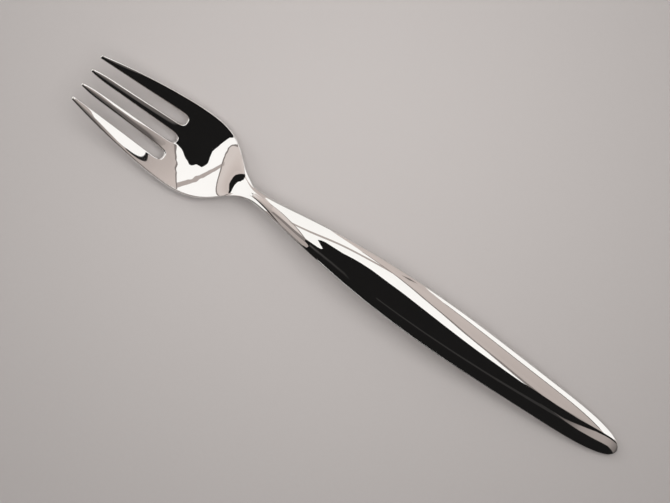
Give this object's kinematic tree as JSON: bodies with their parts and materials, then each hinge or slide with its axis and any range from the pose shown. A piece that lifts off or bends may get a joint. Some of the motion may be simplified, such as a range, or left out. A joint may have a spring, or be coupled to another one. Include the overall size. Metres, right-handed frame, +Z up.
{
  "type": "table fork",
  "caption": "Solid polished steel table fork with a dished, slotted head, a slim neck and a leaf-shaped handle that swells at its middle.",
  "frame": {"origin": "on the table plane, below the middle of the fork's length and width, as it lies face up on its palm and the end of its handle", "axes": "+X along the fork towards the end of the handle, with the tines towards -X; +Y across it; +Z up, the way the bowl opens"},
  "size_m": [0.1947, 0.026, 0.0151],
  "materials": {
    "polished_steel": "mirror-polished stainless steel"
  },
  "bodies": {
    "root": {"fork": "polished_steel"}
  },
  "joints": []
}
